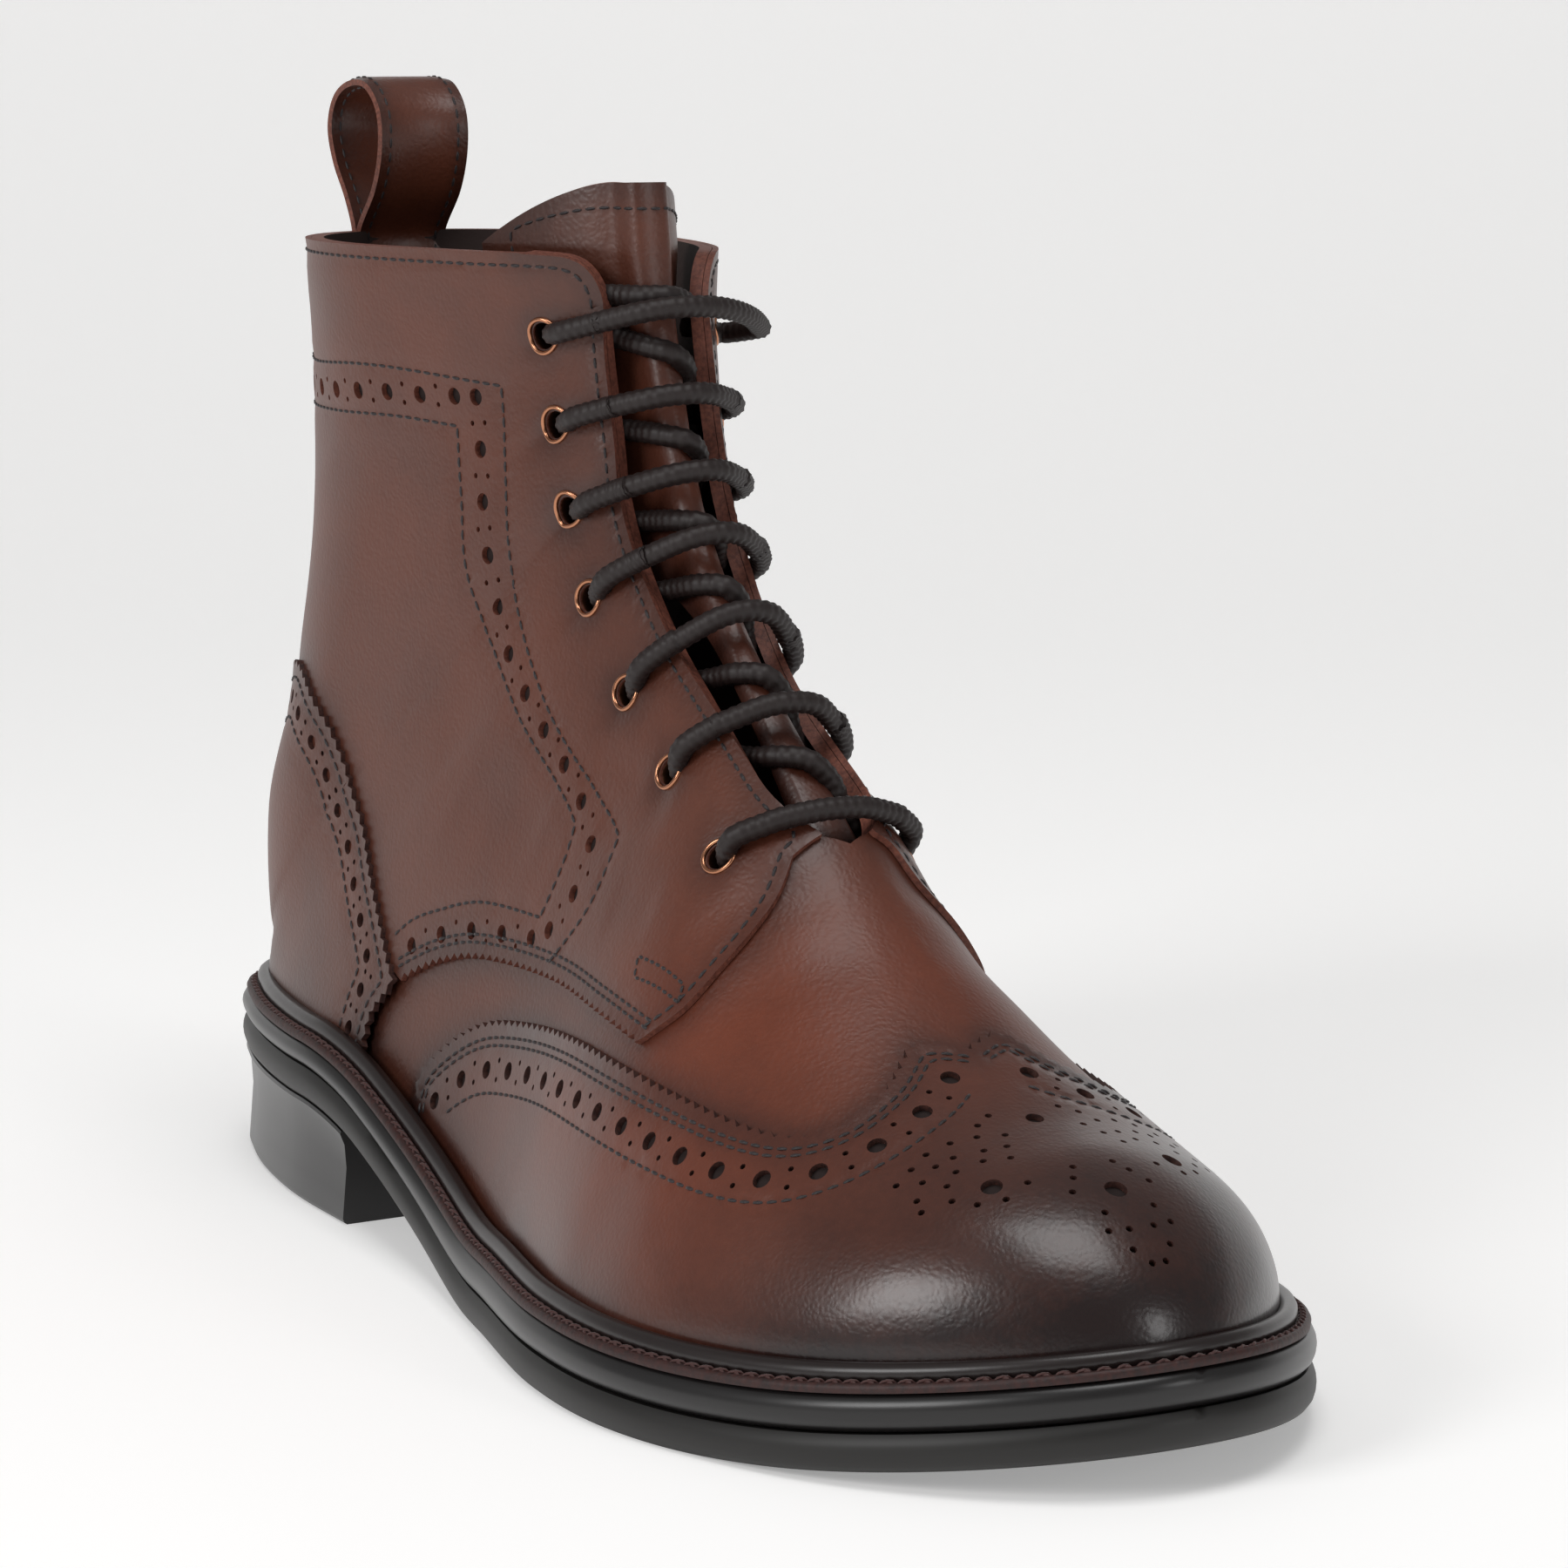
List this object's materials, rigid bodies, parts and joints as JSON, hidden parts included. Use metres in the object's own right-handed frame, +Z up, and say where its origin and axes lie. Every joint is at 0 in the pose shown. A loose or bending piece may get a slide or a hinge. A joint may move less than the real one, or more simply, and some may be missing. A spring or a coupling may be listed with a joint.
{
  "type": "brogue boot",
  "caption": "Right-foot leather lace-up ankle boot with wingtip brogue overlays, storm welt, stacked rubber sole with block heel, inner side zip and heel pull loop.",
  "frame": {"origin": "centre of the bounding box's footprint, on the floor", "axes": "+X towards the toe, -Y the outer (lateral) side, +Z up; the sole stands on z = 0"},
  "size_m": [0.305, 0.1123, 0.2055],
  "materials": {
    "calf": "burnished chestnut calf, soft gloss",
    "calf_dark": "dark burnished calf, glossier",
    "welt_leather": "matt reddish brown welt",
    "lining_leather": "matt dark lining leather",
    "rubber_sole": "black, satin",
    "antique_brass": "thin antique ring",
    "waxed_cord": "braided dark brown waxed cord",
    "zip_coil": "black coil and tape",
    "gunmetal": "dark plated zinc, satin"
  },
  "bodies": {
    "boot": {"outsole": "rubber_sole", "midsole": "rubber_sole", "heel": "rubber_sole", "welt": "welt_leather", "insole": "lining_leather", "upper": "calf", "toe_cap": "calf_dark", "counter": "calf", "quarter_lateral": "calf", "quarter_medial": "calf", "tongue": "calf", "pull_loop": "calf", "zip_chain": "zip_coil", "zip_slider": "gunmetal", "eyelet_lateral_1": "antique_brass", "eyelet_lateral_2": "antique_brass", "eyelet_lateral_3": "antique_brass", "eyelet_lateral_4": "antique_brass", "eyelet_lateral_5": "antique_brass", "eyelet_lateral_6": "antique_brass", "eyelet_lateral_7": "antique_brass", "eyelet_medial_1": "antique_brass", "eyelet_medial_2": "antique_brass", "eyelet_medial_3": "antique_brass", "eyelet_medial_4": "antique_brass", "eyelet_medial_5": "antique_brass", "eyelet_medial_6": "antique_brass", "eyelet_medial_7": "antique_brass", "lace_bar_1": "waxed_cord", "lace_bar_2": "waxed_cord", "lace_bar_3": "waxed_cord", "lace_bar_4": "waxed_cord", "lace_bar_5": "waxed_cord", "lace_bar_6": "waxed_cord", "lace_bar_7": "waxed_cord", "lace_cross_1": "waxed_cord", "lace_cross_2": "waxed_cord", "lace_cross_3": "waxed_cord", "lace_cross_4": "waxed_cord", "lace_cross_5": "waxed_cord", "lace_cross_6": "waxed_cord"},
    "pull_tab": {"zip_pull": "gunmetal"}
  },
  "joints": [
    {"name": "pull_tab_hinge", "type": "hinge", "parent": "boot", "child": "pull_tab", "pos_m": [-0.0857, 0.03691, 0.17195], "axis": [0.9974, 0.0717, 0], "range_deg": [0, 150]}
  ]
}
